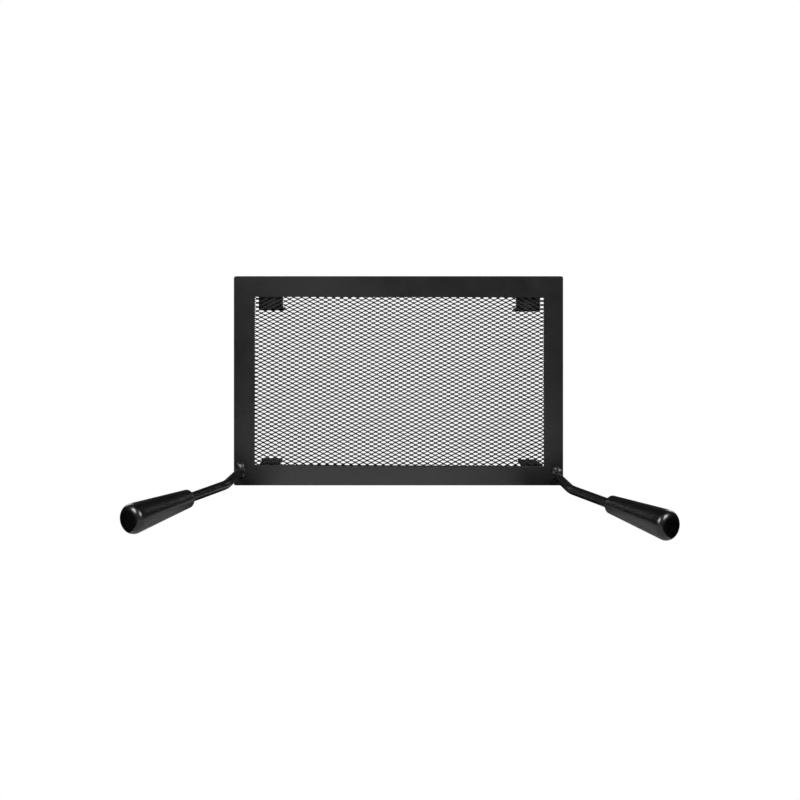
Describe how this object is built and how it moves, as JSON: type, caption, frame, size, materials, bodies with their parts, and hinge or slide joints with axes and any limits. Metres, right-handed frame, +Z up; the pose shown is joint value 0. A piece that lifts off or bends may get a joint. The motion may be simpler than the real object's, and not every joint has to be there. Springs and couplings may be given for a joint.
{
  "type": "fireplace screen",
  "caption": "Rectangular flat-bar frame filled with expanded metal, with bent rod handles ending in tapered grips in front, and four strip tabs that reach back into the opening.",
  "frame": {"origin": "middle of the frame's bottom edge, on the bars' middle plane", "axes": "+X along the frame's width, to the right seen from the front; +Y to the back, towards the fire; +Z up, from the bottom edge that the frame stands on"},
  "size_m": [0.6896, 0.2865, 0.3166],
  "materials": {
    "frame_paint": "satin black paint",
    "bracket_paint": "satin black paint",
    "rod_paint": "satin black paint",
    "mesh_paint": "satin black paint",
    "weld_paint": "glossy black paint on rippled weld",
    "grip_black": "satin black",
    "insert_brass": "machined"
  },
  "bodies": {
    "root": {"bottom_left_corner_weld": "weld_paint", "bottom_left_rest_tab": "bracket_paint", "bottom_left_rest_tab_inner_weld": "weld_paint", "bottom_left_rest_tab_outer_weld": "weld_paint", "bottom_mesh_tack_1": "weld_paint", "bottom_mesh_tack_2": "weld_paint", "bottom_mesh_tack_3": "weld_paint", "bottom_mesh_tack_4": "weld_paint", "bottom_rail": "frame_paint", "bottom_right_corner_weld": "weld_paint", "bottom_right_rest_tab": "bracket_paint", "bottom_right_rest_tab_inner_weld": "weld_paint", "bottom_right_rest_tab_outer_weld": "weld_paint", "left_grip": "grip_black", "left_grip_insert": "insert_brass", "left_handle_rod": "rod_paint", "left_mesh_tack_1": "weld_paint", "left_mesh_tack_2": "weld_paint", "left_rod_weld": "weld_paint", "left_stile": "frame_paint", "mesh_panel": "mesh_paint", "right_grip": "grip_black", "right_grip_insert": "insert_brass", "right_handle_rod": "rod_paint", "right_mesh_tack_1": "weld_paint", "right_mesh_tack_2": "weld_paint", "right_rod_weld": "weld_paint", "right_stile": "frame_paint", "top_left_corner_weld": "weld_paint", "top_left_guide_tab": "bracket_paint", "top_left_guide_tab_inner_weld": "weld_paint", "top_left_guide_tab_outer_weld": "weld_paint", "top_mesh_tack_1": "weld_paint", "top_mesh_tack_2": "weld_paint", "top_mesh_tack_3": "weld_paint", "top_mesh_tack_4": "weld_paint", "top_rail": "frame_paint", "top_right_corner_weld": "weld_paint", "top_right_guide_tab": "bracket_paint", "top_right_guide_tab_inner_weld": "weld_paint", "top_right_guide_tab_outer_weld": "weld_paint"}
  },
  "joints": []
}
